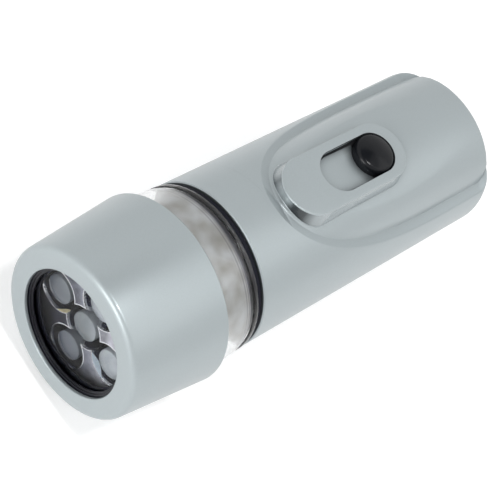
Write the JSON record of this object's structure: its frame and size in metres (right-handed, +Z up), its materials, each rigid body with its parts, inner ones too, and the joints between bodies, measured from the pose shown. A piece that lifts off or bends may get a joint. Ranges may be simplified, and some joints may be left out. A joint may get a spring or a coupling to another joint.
{
  "type": "hand torch",
  "caption": "Silver plastic hand torch with five light emitting diodes behind a round window, a clear ring, and a thumb slide switch on a raised saddle.",
  "frame": {"origin": "centre of the bounding box's base, under the middle of the lying torch", "axes": "+X from the window to the tail along the torch, +Z up through the thumb switch, +Y to the left as seen from the tail"},
  "size_m": [0.1186, 0.0444, 0.0455],
  "materials": {
    "silver_paint": "satin silver lacquer over plastic",
    "black_gloss": "glossy black",
    "black_plastic": "satin black",
    "red_plastic": "red insulation",
    "black_rubber": "matt black",
    "clear_plastic": "clear polished plastic",
    "chrome": "vacuum metallised plastic, mirror bright",
    "led_lens": "water clear epoxy",
    "ivory_plastic": "natural moulding",
    "white_board": "white solder mask",
    "brass": "stamped sheet",
    "steel": "plated spring wire and sheet",
    "cell_sleeve": "plain printed sleeve"
  },
  "bodies": {
    "handle": {"handle_shell": "silver_paint", "switch_board": "black_plastic", "switch_contact_front": "brass", "switch_contact_rear": "brass", "front_strip": "brass", "rear_strip": "brass", "battery_holder": "black_plastic", "pad_front": "steel", "link_front": "steel", "pad_rear": "steel", "link_rear": "steel", "front_terminal": "brass", "rear_terminal": "brass", "cell_1": "cell_sleeve", "cell_2": "cell_sleeve", "cell_3": "cell_sleeve", "cell_spring_1": "steel", "cell_spring_2": "steel", "cell_spring_3": "steel", "tail_spring": "steel", "tail_contact": "brass"},
    "switch": {"switch_slider": "black_plastic", "switch_plate": "silver_paint", "switch_knob": "black_gloss", "switch_wiper": "brass"},
    "seal": {"ring_gasket": "black_rubber"},
    "head": {"head_shell": "silver_paint", "window_bezel": "black_gloss", "front_lens": "clear_plastic", "lens_seal": "black_rubber", "reflector": "chrome", "led_centre": "led_lens", "led_upper": "led_lens", "led_right": "led_lens", "led_lower": "led_lens", "led_left": "led_lens", "led_board": "white_board", "led_resistor_1": "black_plastic", "led_resistor_2": "black_plastic", "lamp_carrier": "ivory_plastic", "clear_ring": "clear_plastic", "contact_ring": "brass", "contact_plug": "brass", "contact_spring": "steel", "lead_plus": "red_plastic", "lead_minus": "black_plastic"}
  },
  "joints": [
    {"name": "switch_slide", "type": "slide", "parent": "handle", "child": "switch", "axis": [-1, 0, 0], "range_m": [0, 0.01]},
    {"name": "seal_advance", "type": "slide", "parent": "handle", "child": "seal", "axis": [-1, 0, 0], "range_m": [0, 0.00736]},
    {"name": "head_unscrew", "type": "hinge", "parent": "seal", "child": "head", "pos_m": [-0.0226, 0, 0.02224], "axis": [-1, 0, 0], "range_deg": [0, 660]}
  ],
  "couplings": [
    {"joint": "seal_advance", "follows": "head_unscrew", "m_per_rad": 0.00063662}
  ]
}
